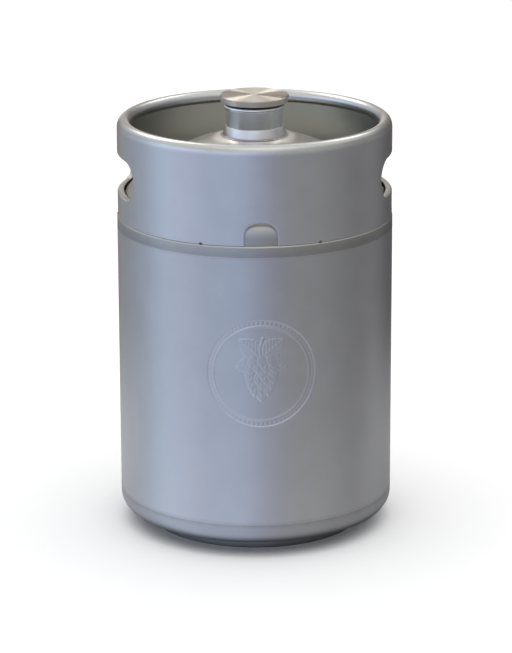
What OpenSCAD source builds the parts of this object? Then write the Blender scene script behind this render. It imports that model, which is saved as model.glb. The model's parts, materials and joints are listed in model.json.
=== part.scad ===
// Stainless mini keg: a welded 10 litre class vessel with a carrying collar and a screw cap.
// Millimetres, +Z up. The origin is the centre of the foot ring's underside and the front is -Y.
// Right-hand screw thread: turning the cap counter-clockwise, seen from above, lifts it.

/* [Vessel] */
// Outside diameter of the body cylinder
body_d = 222; // [216:1:228]
// Thickness of the sheet that the vessel and the collar are made from
sheet = 1; // [0.8:0.1:1.2]
// Height of the body cylinder between its two round seams
shell_len = 217.8; // [140:0.2:300]
// Radius of the rounded edge between the vessel's side and its bottom
corner_r = 13; // [12:0.5:15]
// Height of the bottom panel's centre above its outer ring
base_rise = 14; // [8:1:16]
// Radius of the top head's knuckle, where its crown turns down to its skirt
knuckle_r = 20; // [16:1:22]
// Height of the straight skirt between the collar's seat and the knuckle
skirt_h = 5; // [4:0.5:8]
// Rise of the top head above the collar's seat
dome_rise = 66.6; // [60:0.2:68]

/* [Foot ring] */
// Outside diameter of the foot ring
foot_d = 174; // [166:1:178]
// Height of the foot ring, which is the gap under the vessel
foot_h = 10; // [9:0.5:12]
// Width of the flat face that the keg stands on
foot_face_w = 6; // [4:0.5:8]

/* [Collar] */
// Height of the carrying collar above the vessel's shoulder
collar_h = 79; // [76:0.5:82]
// How far the collar's wall stands in from the body's wall
collar_inset = 0.6; // [0.4:0.1:1]
// Radius of the rolled rim's tube
rim_r = 5.5; // [5:0.1:6]
// Length of each hand hole
hand_hole_l = 102; // [92:1:108]
// Height of each hand hole
hand_hole_h = 33; // [31:1:38]
// Corner radius of each hand hole
hand_hole_r = 15; // [12:0.5:15]
// Depth of the folded lip around each hand hole
hand_lip_d = 5; // [3:0.5:5]
// Width of the drain notches at the front and the back of the collar
drain_w = 26; // [22:1:30]
// Height of the drain notches
drain_h = 18.5; // [16:0.5:22]
// Corner radius at the top of the drain notches
drain_r = 11; // [5:0.5:11]
// Angle from the notch to the tack weld on each side of it, in degrees
tack_angle = 25; // [15:1:40]

/* [Neck and cap] */
// Outside diameter of the neck tube
neck_d = 45.4; // [45:0.2:46]
// Inside diameter of the neck tube
bore_d = 41; // [40.6:0.2:41.2]
// Height of the neck's rolled lip above the top of the head
neck_h = 22.7; // [21:0.1:24]
// Diameter of the neck's flared base ring where it meets the head
neck_ring_d = 51; // [50:0.5:54]
// Height of the neck's base ring above the head
neck_ring_h = 7.2; // [6:0.2:9]
// Diameter of the cap's top
cap_d = 55.4; // [53:0.2:58]
// Thickness of the cap's disc
cap_t = 5.5; // [5:0.1:7]
// Outside diameter of the cap's threaded plug, without its thread
plug_d = 37; // [36.6:0.2:37.2]
// Length of the cap's plug below its disc
plug_len = 17; // [16:0.5:18]
// Thickness of the seal between the cap and the neck's lip
seal_t = 1.8; // [1.4:0.1:2.4]
// Pitch of the screw thread
pitch = 4; // [3.6:0.1:4.4]
// Turns of thread on the cap's plug
cap_turns = 2.5; // [1.5:0.25:2.5]
// Turns of thread in the neck
neck_turns = 3; // [2:0.25:3]

/* [Hidden] */

$fn = 180;
body_r = body_d / 2;
gap = 0.02;           // paper gap between touching curved faces
bead_proud = 0.35;    // how far a weld bead stands out of its wall
seam_w = 3;             // width of the upper round weld
lower_w = 4.4;          // width of the lower round weld

// Heights of the vessel, from the floor up
lower_seam_z = foot_h + corner_r + 6.2;
upper_seam_z = lower_seam_z + shell_len;
shoulder_r = 1.8;                             // rounding of the shoulder bead
seat_z = upper_seam_z + 10;                   // the collar stands on this shoulder
collar_top_z = seat_z + collar_h;
head_top_z = seat_z + dome_rise;

// The top head: a crown arc that runs into a knuckle arc, then a short straight skirt
collar_r = body_r - collar_inset;
collar_in_r = collar_r - sheet;
head_r = collar_in_r - 0.5;
knuckle_x = head_r - knuckle_r;
knuckle_z = seat_z + skirt_h;
knuckle_rise = head_top_z - knuckle_z;
crown_r = (knuckle_x ^ 2 + knuckle_rise ^ 2 - knuckle_r ^ 2) / (2 * (knuckle_rise - knuckle_r));
crown_z = head_top_z - crown_r;
tangent_a = atan2(knuckle_z - crown_z, knuckle_x);

// Height of the crown's surface, with a paper gap, at distance x from the axis
function crown_at(x) = crown_z + sqrt(crown_r ^ 2 - x ^ 2) + gap;

// The bottom head's raised centre panel
foot_r = foot_d / 2;
panel_r = foot_r - foot_face_w - 8;
panel_arc_r = (panel_r ^ 2 + base_rise ^ 2) / (2 * base_rise);
panel_arc_z = foot_h + base_rise - panel_arc_r;

// The hand holes' height
hand_hole_z = seat_z + 0.449 * collar_h;

// The neck and the cap, closed
neck_r = neck_d / 2;
bore_r = bore_d / 2;
lip_z = head_top_z + neck_h;
lip_r = 1.9;          // radius of the neck's rolled lip
cap_z = lip_z + seal_t;
cap_top_z = cap_z + cap_t;
plug_r = plug_d / 2;
plug_wall = 2.2;
ridge_h = 1.5;        // height of both thread ridges
ridge_root = 1.5;     // width of a ridge at its root
ridge_crest = 0.9;    // width of a ridge at its crest
ridge_bury = 0.15;    // how far a ridge's root is sunk into its wall
ridge_steps = 40;     // straight pieces in one turn of a ridge
thread_z = lip_z - 3 - neck_turns * pitch;

// A ring turned from a rectangle
module ring(r_in, r_out, z0, z1) {
    rotate_extrude() translate([r_in, z0]) square([r_out - r_in, z1 - z0]);
}

// A flat rectangle with round corners, centred on the origin
module round_rect(l, h, r) {
    square([l - 2 * r, h], center = true);
    square([l, h - 2 * r], center = true);
    for (x = [-1, 1], y = [-1, 1])
        translate([x * (l / 2 - r), y * (h / 2 - r)]) circle(r);
}

// Extrudes a flat outline along X, with the outline's Y standing up
module along_x(length) {
    rotate([90, 0, 90]) linear_extrude(length, center = true) children();
}

// Extrudes a flat outline along Y, with the outline's Y standing up
module along_y(length) {
    rotate([90, 0, 0]) linear_extrude(length, center = true) children();
}

// Half section of the space under the top head's crown, knuckle and skirt, moved inwards by inset
module head_outline(inset) {
    low = knuckle_z - 1;
    in_x = knuckle_x - 1;
    far_x = knuckle_x + body_d * cos(tangent_a);
    far_z = knuckle_z + body_d * sin(tangent_a);
    intersection() {
        translate([0, crown_z]) circle(crown_r - inset, $fn = 720);
        polygon([[0, low], [knuckle_x, low], [knuckle_x, knuckle_z], [far_x, far_z], [0, far_z]]);
    }
    intersection() {
        translate([knuckle_x, knuckle_z]) circle(knuckle_r - inset);
        polygon([[in_x, low], [body_d, low], [body_d, far_z], [far_x, far_z], [in_x, knuckle_z]]);
    }
    translate([0, seat_z - shoulder_r]) square([head_r - inset, skirt_h + shoulder_r]);
}

// A ridge that winds around Z, with its root on radius root_r and its crest ridge_h away.
// dir is 1 for an outer thread and -1 for an inner one.
module ridge(root_r, dir, turns, z0) {
    n = ceil(turns * ridge_steps);
    taper = ridge_steps / 6;
    function height(i) = max(0.15, min(1, i / taper, (n - i) / taper)) * ridge_h;
    function section(i) = [
        [root_r - dir * ridge_bury, -ridge_root / 2],
        [root_r + dir * height(i), -ridge_crest / 2],
        [root_r + dir * height(i), ridge_crest / 2],
        [root_r - dir * ridge_bury, ridge_root / 2]
    ];
    points = [
        for (i = [0:n], p = section(i))
            let (a = i * 360 / ridge_steps)
            [p[0] * cos(a), p[0] * sin(a), z0 + i * pitch / ridge_steps + p[1]]
    ];
    function quad(i, k) = let (a = 4 * i + k, b = 4 * i + (k + 1) % 4) [a, b, b + 4, a + 4];
    sides = [for (i = [0:n - 1], k = [0:3]) dir > 0 ? [for (j = [3:-1:0]) quad(i, k)[j]] : quad(i, k)];
    ends = dir > 0
        ? [[3, 2, 1, 0], [for (k = [0:3]) 4 * n + k]]
        : [[0, 1, 2, 3], [for (k = [3:-1:0]) 4 * n + k]];
    polyhedron(points, concat(sides, ends));
}

// A low round bead that fills a seam of the body's wall
module seam_ring(z, w) {
    bead_r = (w ^ 2 / 4 + bead_proud ^ 2) / (2 * bead_proud);
    rotate_extrude() {
        translate([body_r - sheet, z - w / 2]) square([sheet, w]);
        intersection() {
            translate([body_r + bead_proud - bead_r, z]) circle(bead_r);
            translate([body_r - gap, z - w / 2]) square([bead_proud + gap, w]);
        }
    }
}

module shell() {
    color("silver")
        ring(body_r - sheet, body_r, lower_seam_z + lower_w / 2, upper_seam_z - seam_w / 2);
}

module shell_seam() {
    margin = 3;
    color("gainsboro") intersection() {
        ring(body_r + gap, body_r + 0.25, lower_seam_z + margin, upper_seam_z - margin);
        translate([-1.5, 0, 0]) cube([3, body_d, collar_top_z]);
    }
}

module base_head() {
    side_z = lower_seam_z - lower_w / 2;
    color("silver") rotate_extrude() difference() {
        base_outline(0, side_z);
        base_outline(sheet, side_z + 1);
    }
}

// Half section of the space above the bottom head's outer face, up to height top
module base_outline(inset, top) {
    difference() {
        union() {
            translate([0, foot_h + inset]) square([body_r - corner_r, top - foot_h - inset]);
            translate([0, foot_h + corner_r]) square([body_r - inset, top - foot_h - corner_r]);
            intersection() {
                translate([body_r - corner_r, foot_h + corner_r]) circle(corner_r - inset);
                translate([body_r - corner_r - 1, foot_h]) square([corner_r + 1, top - foot_h]);
            }
        }
        // the raised centre panel
        intersection() {
            translate([0, panel_arc_z]) circle(panel_arc_r + inset);
            translate([0, foot_h - 1]) square([panel_r + inset, 2 * base_rise]);
        }
    }
}

module lower_weld() {
    color("gainsboro") seam_ring(lower_seam_z, lower_w);
}

module foot_ring() {
    toe_r = 1.5;
    color("darkgray") rotate_extrude() {
        translate([foot_r - sheet, toe_r]) square([sheet, foot_h - toe_r]);
        translate([foot_r - foot_face_w, 0]) square([foot_face_w - toe_r, sheet]);
        intersection() {
            difference() {
                translate([foot_r - toe_r, toe_r]) circle(toe_r);
                translate([foot_r - toe_r, toe_r]) circle(toe_r - sheet);
            }
            translate([foot_r - toe_r, 0]) square(toe_r);
        }
    }
}

module foot_welds() {
    count = 6;
    leg = 2.4;
    color("gainsboro") for (i = [0:count - 1]) rotate(i * 360 / count + 30)
        intersection() {
            rotate_extrude() polygon([
                [foot_r + gap, foot_h - gap], [foot_r + leg, foot_h - gap], [foot_r + gap, foot_h - leg]
            ]);
            translate([0, -5, 0]) cube([body_r, 10, foot_h]);
        }
}

module top_head() {
    flange_z = upper_seam_z + seam_w / 2;
    ledge_z = seat_z - shoulder_r;
    color("silver") rotate_extrude() difference() {
        union() {
            head_outline(0);
            translate([0, flange_z]) square([body_r, ledge_z - flange_z]);
            translate([0, ledge_z]) square([body_r - shoulder_r, shoulder_r]);
            translate([body_r - shoulder_r, ledge_z]) circle(shoulder_r);
        }
        head_outline(sheet);
        translate([0, flange_z - 1]) square([body_r - sheet, ledge_z - flange_z + 1]);
        translate([0, seat_z]) square([neck_r + gap, dome_rise + 1]);
    }
}

module upper_weld() {
    color("gainsboro") seam_ring(upper_seam_z, seam_w);
}

module collar() {
    tube_x = collar_r - rim_r;
    tube_z = collar_top_z - rim_r;
    color("silver") {
        difference() {
            rotate_extrude() {
                translate([collar_in_r, seat_z]) square([sheet, tube_z - seat_z]);
                // the rim rolls inwards over three quarters of a circle
                difference() {
                    translate([tube_x, tube_z]) circle(rim_r);
                    translate([tube_x, tube_z]) circle(rim_r - sheet);
                    translate([tube_x, tube_z - rim_r]) square(rim_r);
                }
            }
            translate([0, 0, hand_hole_z]) along_x(body_d * 2)
                round_rect(hand_hole_l, hand_hole_h, hand_hole_r);
            translate([0, 0, seat_z]) along_y(body_d * 2) drain_outline();
        }
        // the folded lips of the two hand holes
        intersection() {
            translate([0, 0, hand_hole_z]) along_x(body_d * 2) difference() {
                round_rect(hand_hole_l, hand_hole_h, hand_hole_r);
                round_rect(hand_hole_l - 2 * sheet, hand_hole_h - 2 * sheet, hand_hole_r - sheet);
            }
            ring(collar_r - hand_lip_d, collar_r, seat_z, collar_top_z);
        }
    }
}

// A drain notch's outline, standing on the collar's lower edge
module drain_outline() {
    translate([-drain_w / 2, -1]) square([drain_w, drain_h - drain_r + 1]);
    translate([drain_r - drain_w / 2, 0]) square([drain_w - 2 * drain_r, drain_h]);
    for (x = [-1, 1]) translate([x * (drain_w / 2 - drain_r), drain_h - drain_r]) circle(drain_r);
}

module collar_seam() {
    color("gainsboro") intersection() {
        ring(collar_r + gap, collar_r + 0.25, seat_z + drain_h + 2, collar_top_z - rim_r - 1);
        translate([-1.25, 0, 0]) cube([2.5, body_d, collar_top_z]);
    }
}

module collar_tacks() {
    tack_r = 0.75;
    color("dimgray") for (a = [-tack_angle, tack_angle, 90, 180 - tack_angle, 180 + tack_angle, 270])
        rotate(a) difference() {
            translate([0, -collar_r - 0.1, seat_z + 0.4]) sphere(tack_r, $fn = 32);
            translate([0, 0, seat_z - 1]) cylinder(h = 3, r = collar_r + gap);
        }
}

module neck_ring() {
    step = 0.8;           // width of the ring's top edge
    foot_x = neck_ring_d / 2;
    in_x = neck_r + gap;
    edge_z = head_top_z - 2 + neck_ring_h;
    color("lightgray") rotate_extrude() polygon([
        [in_x, crown_at(in_x)],
        [foot_x, crown_at(foot_x)],
        [foot_x, crown_at(foot_x) + 0.8],
        [neck_r + step, edge_z],
        [in_x, edge_z]
    ]);
}

module neck_tube() {
    color("lightsteelblue") rotate_extrude() {
        translate([bore_r, head_top_z - 8]) square([neck_r - bore_r, lip_z - head_top_z + 8]);
        translate([neck_r, lip_z - lip_r]) circle(lip_r);
    }
}

module neck_weld() {
    leg = 2.2;
    in_x = neck_ring_d / 2 + gap;
    color("gainsboro") rotate_extrude() polygon([
        [in_x, crown_at(in_x)],
        [in_x + leg, crown_at(in_x + leg)],
        [in_x + leg, crown_at(in_x + leg) + 0.2],
        [in_x, crown_at(in_x) + 1.2]
    ]);
}

module neck_thread() {
    color("gray") ridge(bore_r, -1, neck_turns, thread_z);
}

module cap() {
    rim_taper = 0.7;      // the disc is narrower at its underside
    bevel = 0.8;
    recess_t = 3;         // metal left above the hollow plug
    color("whitesmoke") difference() {
        union() {
            rotate_extrude() polygon([
                [0, cap_z],
                [cap_d / 2 - rim_taper, cap_z],
                [cap_d / 2, cap_top_z - bevel],
                [cap_d / 2 - bevel, cap_top_z],
                [0, cap_top_z]
            ]);
            translate([0, 0, cap_z - plug_len]) cylinder(h = plug_len, r = plug_r);
        }
        translate([0, 0, cap_z - plug_len - 1])
            cylinder(h = plug_len + 1 + cap_t - recess_t, r = plug_r - plug_wall);
    }
}

module cap_thread() {
    color("gray") ridge(plug_r, 1, cap_turns, thread_z + pitch / 2);
}

module cap_seal() {
    side_gap = 0.3;
    color([0.05, 0.05, 0.05]) ring(plug_r + side_gap, neck_r + 0.9, lip_z, cap_z);
}

shell();
shell_seam();
base_head();
lower_weld();
foot_ring();
foot_welds();
top_head();
upper_weld();
collar();
collar_seam();
collar_tacks();
neck_ring();
neck_tube();
neck_weld();
neck_thread();
cap();
cap_thread();
cap_seal();
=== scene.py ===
"""Stainless mini keg: finely made pieces and their finishes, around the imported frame.

Metres throughout. The frame's nodes give the places and the outer sizes, and each class holds the sizes
that are its own. The front of the keg is -Y and its axis is Z.
"""
import json
import logging
import math
from dataclasses import dataclass, field
from enum import Enum
from typing import Any, Callable, Sequence

import bpy
import numpy as np
from mathutils import Matrix, Vector


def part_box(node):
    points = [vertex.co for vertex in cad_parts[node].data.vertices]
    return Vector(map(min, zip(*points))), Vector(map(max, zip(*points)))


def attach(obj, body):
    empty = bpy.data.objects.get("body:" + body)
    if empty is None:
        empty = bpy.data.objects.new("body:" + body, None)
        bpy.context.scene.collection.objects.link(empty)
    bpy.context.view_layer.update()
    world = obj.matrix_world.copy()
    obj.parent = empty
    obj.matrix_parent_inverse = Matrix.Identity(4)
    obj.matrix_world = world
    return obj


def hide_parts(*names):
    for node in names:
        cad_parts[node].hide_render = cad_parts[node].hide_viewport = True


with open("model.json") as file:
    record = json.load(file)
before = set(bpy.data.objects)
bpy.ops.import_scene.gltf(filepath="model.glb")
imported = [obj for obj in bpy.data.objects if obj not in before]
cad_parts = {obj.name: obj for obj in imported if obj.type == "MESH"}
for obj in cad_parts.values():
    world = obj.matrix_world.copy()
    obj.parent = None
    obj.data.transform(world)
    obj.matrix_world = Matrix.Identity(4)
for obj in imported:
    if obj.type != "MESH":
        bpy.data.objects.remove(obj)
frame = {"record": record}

LOG = logging.getLogger("mini_keg")
MM = 0.001
SEGMENTS = 256          # straight pieces in a turned part's circle
FRONT = -math.pi / 2    # direction of the keg's front, seen from above
ACROSS_THE_LINES = 0.25  # turns a tangent that runs along the circular lines so that it crosses them

Point = tuple[float, float]
Colour = tuple[float, float, float]
Corner = tuple[float, float, float]


# ---------------------------------------------------------------- places from the frame

@dataclass(frozen=True)
class NodeBox:
    """Outer radius and heights of one node of the frame."""

    radius: float
    low: float
    high: float

    @classmethod
    def of(cls, node: str) -> "NodeBox":
        """Box of the node with this name."""
        low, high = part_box(node)
        return cls(max(high.x, high.y), low.z, high.z)

    @property
    def middle(self) -> float:
        """Height halfway up."""
        return (self.low + self.high) / 2


def body_of(node: str) -> str:
    """Name of the body that a node rides on."""
    bodies = frame["record"]["behaviour"]["bodies"]
    return next(body for body, nodes in bodies.items() if node in nodes)


# ---------------------------------------------------------------- outlines and meshes

def arc(centre: Point, radius: float, start: float, end: float, steps: int) -> list[Point]:
    """Points along a circular arc.

    Args:
        centre: The arc's centre.
        radius: Its radius.
        start: Angle of the first point, in degrees.
        end: Angle of the last point, in degrees.
        steps: Number of straight pieces.

    Returns:
        The points, with both ends.
    """
    angles = np.radians(np.linspace(start, end, steps + 1))
    return [(centre[0] + radius * math.cos(a), centre[1] + radius * math.sin(a)) for a in angles]


def rounded(corners: Sequence[Corner], closed: bool = True, steps: int = 5) -> list[Point]:
    """Outline through corners, each turned into an arc of its own radius.

    Args:
        corners: (x, y, radius) of each corner, where radius 0 keeps it sharp.
        closed: Whether the last corner joins the first. An open outline keeps its two ends sharp.
        steps: Straight pieces in each arc.

    Returns:
        The outline's points.
    """
    points: list[Point] = []
    count = len(corners)
    for i, (x, y, radius) in enumerate(corners):
        if radius <= 0 or (not closed and i in (0, count - 1)):
            points.append((x, y))
            continue
        here = Vector((x, y))
        back = Vector(corners[i - 1][:2]) - here
        ahead = Vector(corners[(i + 1) % count][:2]) - here
        half = back.angle(ahead) / 2
        reach = min(radius / math.tan(half), 0.49 * back.length, 0.49 * ahead.length)
        centre = here + (back.normalized() + ahead.normalized()).normalized() * (reach / math.cos(half))
        first = here + back.normalized() * reach - centre
        turn = first.angle_signed(here + ahead.normalized() * reach - centre)
        for k in range(steps + 1):
            spoke = Matrix.Rotation(-turn * k / steps, 2) @ first
            points.append(tuple(centre + spoke))
    return points


def make_piece(name: str, points: Any, faces: Any, sharp_angle: float = 40) -> bpy.types.Object:
    """A new smooth-shaded mesh object at the origin.

    Args:
        name: The object's name.
        points: Its vertices.
        faces: Its faces, which point outwards.
        sharp_angle: Edges that turn by more degrees than this stay sharp.

    Returns:
        The object, linked into the scene.
    """
    mesh = bpy.data.meshes.new(name)
    mesh.from_pydata([tuple(p) for p in points], [], [tuple(f) for f in faces])
    mesh.polygons.foreach_set("use_smooth", [True] * len(mesh.polygons))
    mesh.set_sharp_from_angle(angle=math.radians(sharp_angle))
    piece = bpy.data.objects.new(name, mesh)
    bpy.context.scene.collection.objects.link(piece)
    return piece


def revolve(name: str, profile: Sequence[Point], closed: bool = True,
            segments: int = SEGMENTS) -> bpy.types.Object:
    """A turned piece, swept round Z from its half section.

    Args:
        name: The object's name.
        profile: (radius, height) points with the metal on the left. A point on the axis becomes a pole.
        closed: Whether the last point joins the first. An open profile starts and ends on the axis.
        segments: Straight pieces in the circle.

    Returns:
        The object.
    """
    turns = [2 * math.pi * j / segments for j in range(segments)]
    points: list[tuple[float, float, float]] = []
    rings: list[list[int]] = []
    for r, z in profile:
        if r < 1e-7:
            rings.append([len(points)] * segments)
            points.append((0, 0, z))
        else:
            rings.append(list(range(len(points), len(points) + segments)))
            points.extend((r * math.cos(a), r * math.sin(a), z) for a in turns)
    faces = []
    for k in range(len(rings) - (0 if closed else 1)):
        near, far = rings[k], rings[(k + 1) % len(rings)]
        for j in range(segments):
            m = (j + 1) % segments
            faces.append(tuple(dict.fromkeys((near[j], near[m], far[m], far[j]))))
    return make_piece(name, points, faces)


def circle_path(radius: float, height: float, steps: int, start: float = 0,
                sweep: float = 2 * math.pi) -> tuple[list[Vector], list[tuple[int, int]]]:
    """Points and edges of a level circle, or of a part of one.

    Args:
        radius: The circle's radius.
        height: Its height.
        steps: Number of straight pieces.
        start: Direction of the first point, in radians.
        sweep: Angle covered, in radians.

    Returns:
        The points and the edges between them.
    """
    whole = abs(sweep) >= 2 * math.pi - 1e-6
    count = steps if whole else steps + 1
    spokes = [start + sweep * k / steps for k in range(count)]
    points = [Vector((radius * math.cos(a), radius * math.sin(a), height)) for a in spokes]
    edges = [(k, (k + 1) % count) for k in range(steps)]
    return points, edges


# ---------------------------------------------------------------- node trees

class Tree:
    """Adds and links nodes in one node tree."""

    def __init__(self, tree: bpy.types.NodeTree) -> None:
        """Starts with the tree that the nodes go into."""
        self.tree = tree

    def add(self, kind: str, inputs: dict[Any, Any] | None = None, **settings: Any) -> bpy.types.Node:
        """Adds a node.

        Args:
            kind: The node's type.
            inputs: Values for its sockets by name or number. A socket as the value is linked.
            settings: The node's own properties.

        Returns:
            The node.
        """
        node = self.tree.nodes.new(kind)
        for key, value in settings.items():
            setattr(node, key, value)
        for key, value in (inputs or {}).items():
            if isinstance(value, bpy.types.NodeSocket):
                self.tree.links.new(value, node.inputs[key])
            else:
                node.inputs[key].default_value = value
        return node

    def math(self, operation: str, *values: Any) -> bpy.types.NodeSocket:
        """Result of a Math node on values or sockets."""
        return self.add("ShaderNodeMath", dict(enumerate(values)), operation=operation).outputs[0]

    def spread(self, value: Any, low: float, high: float, to_low: float = 0,
               to_high: float = 1) -> bpy.types.NodeSocket:
        """A value carried smoothly from one range to another, and held at its ends."""
        node = self.add("ShaderNodeMapRange", {0: value, 1: low, 2: high, 3: to_low, 4: to_high},
                        interpolation_type="SMOOTHSTEP")
        return node.outputs[0]

    def from_axis(self, parts: Any) -> bpy.types.NodeSocket:
        """Distance from Z of a place whose X, Y and Z are given."""
        squares = [self.math("MULTIPLY", part, part) for part in (parts[0], parts[1])]
        return self.math("SQRT", self.math("ADD", *squares))

    def mix(self, factor: Any, first: Any, second: Any) -> bpy.types.NodeSocket:
        """Colour between two colours."""
        return self.add("ShaderNodeMix", {0: factor, 6: first, 7: second}, data_type="RGBA").outputs[2]

    def noise(self, vector: Any, scale: Any, detail: float = 3,
              roughness: float = 0.55) -> bpy.types.NodeSocket:
        """Value of a Noise Texture."""
        node = self.add("ShaderNodeTexNoise", {"Vector": vector, "Scale": scale, "Detail": detail,
                                               "Roughness": roughness})
        return node.outputs[0]


def new_group(name: str, inputs: dict[str, float], outputs: Sequence[str]) -> tuple[Tree, Any, Any]:
    """A new shader node group with value sockets.

    Args:
        name: The group's name.
        inputs: Its inputs and their defaults.
        outputs: Names of its outputs.

    Returns:
        The tree, the node that brings its inputs, and the node that takes its outputs.
    """
    group = bpy.data.node_groups.new(name, "ShaderNodeTree")
    for label, default in inputs.items():
        socket = group.interface.new_socket(label, in_out="INPUT", socket_type="NodeSocketFloat")
        socket.default_value = default
    for label in outputs:
        group.interface.new_socket(label, in_out="OUTPUT", socket_type="NodeSocketFloat")
    tree = Tree(group)
    return tree, tree.add("NodeGroupInput").outputs, tree.add("NodeGroupOutput")


def place_vector(tree: Tree) -> bpy.types.NodeSocket:
    """Place on the piece, in metres."""
    return tree.add("ShaderNodeTexCoord").outputs["Object"]


def grain_group() -> bpy.types.NodeTree:
    """Fine satin grain: tiny pits, a cloudier layer above them and hairline scratches."""
    tree, given, result = new_group("satin_grain", {"Pits": 2600, "Clouds": 38, "Scratches": 14},
                                    ("Height", "Cloud", "Scratch"))
    place = place_vector(tree)
    pits = tree.noise(place, given["Pits"], 2, 0.6)
    cloud = tree.noise(place, given["Clouds"], 5, 0.6)
    slant = tree.add("ShaderNodeMapping", {"Vector": place, "Rotation": (0.3, 0.9, 0.2),
                                           "Scale": (1, 7, 0.6)}).outputs[0]
    line = tree.noise(slant, given["Scratches"], 3, 0.5)
    near = tree.math("ABSOLUTE", tree.math("SUBTRACT", line, 0.5))
    patchy = tree.spread(cloud, 0.5, 0.7)
    scratch = tree.math("MULTIPLY", tree.spread(near, 0, 0.0035, 1, 0), patchy)
    for label, socket in (("Height", pits), ("Cloud", cloud), ("Scratch", scratch)):
        tree.tree.links.new(socket, result.inputs[label])
    return tree.tree


def ring_line_group() -> bpy.types.NodeTree:
    """Fine circular lines round Z, as a lathe tool or a brushing belt leaves them."""
    tree, given, result = new_group("ring_lines", {"Lines": 2400, "Drift": 1.2}, ("Height", "Band"))
    parts = tree.add("ShaderNodeSeparateXYZ", {0: place_vector(tree)}).outputs
    radius = tree.from_axis(parts)
    across = tree.math("ADD", radius, parts[2])
    spoke_x = tree.math("DIVIDE", parts[0], tree.math("MAXIMUM", radius, 1e-5))
    spoke_y = tree.math("DIVIDE", parts[1], tree.math("MAXIMUM", radius, 1e-5))
    drift_x = tree.math("MULTIPLY", spoke_x, given["Drift"])
    drift_y = tree.math("MULTIPLY", spoke_y, given["Drift"])
    fine = tree.add("ShaderNodeCombineXYZ", {0: tree.math("MULTIPLY", across, given["Lines"]),
                                             1: drift_x, 2: drift_y}).outputs[0]
    wide = tree.add("ShaderNodeCombineXYZ", {0: tree.math("MULTIPLY", across, 420), 1: drift_x,
                                             2: drift_y}).outputs[0]
    for label, vector in (("Height", fine), ("Band", wide)):
        tree.tree.links.new(tree.noise(vector, 1.0, 2, 0.6), result.inputs[label])
    return tree.tree


def band_mask_group() -> bpy.types.NodeTree:
    """Mask of the band beside a weld: near a height, or near a distance from Z."""
    tree, given, result = new_group("ragged_band_mask", {"Height": 0.2, "Radius": -1.0, "Reach": 0.008}, ("Mask",))
    place = place_vector(tree)
    parts = tree.add("ShaderNodeSeparateXYZ", {0: place}).outputs
    radius = tree.from_axis(parts)
    above = tree.math("ABSOLUTE", tree.math("SUBTRACT", parts[2], given["Height"]))
    beside = tree.math("ABSOLUTE", tree.math("SUBTRACT", radius, given["Radius"]))
    ragged = tree.math("MULTIPLY", tree.math("SUBTRACT", tree.noise(place, 90, 4, 0.6), 0.5),
                       tree.math("MULTIPLY", given["Reach"], 1.2))
    near = tree.math("ADD", tree.math("MINIMUM", above, beside), ragged)
    share = tree.math("DIVIDE", near, given["Reach"])
    tree.tree.links.new(tree.spread(share, 0.15, 1.0, 1, 0), result.inputs["Mask"])
    return tree.tree


class Effects:
    """The shader groups that more than one finish uses, each built once."""

    def __init__(self) -> None:
        """Builds the groups."""
        self.grain = grain_group()
        self.lines = ring_line_group()
        self.band_mask = band_mask_group()


# ---------------------------------------------------------------- finishes

class Texture(Enum):
    """How a steel surface was worked."""

    SATIN = "satin"
    TURNED = "turned"
    WELDED = "welded"


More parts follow.
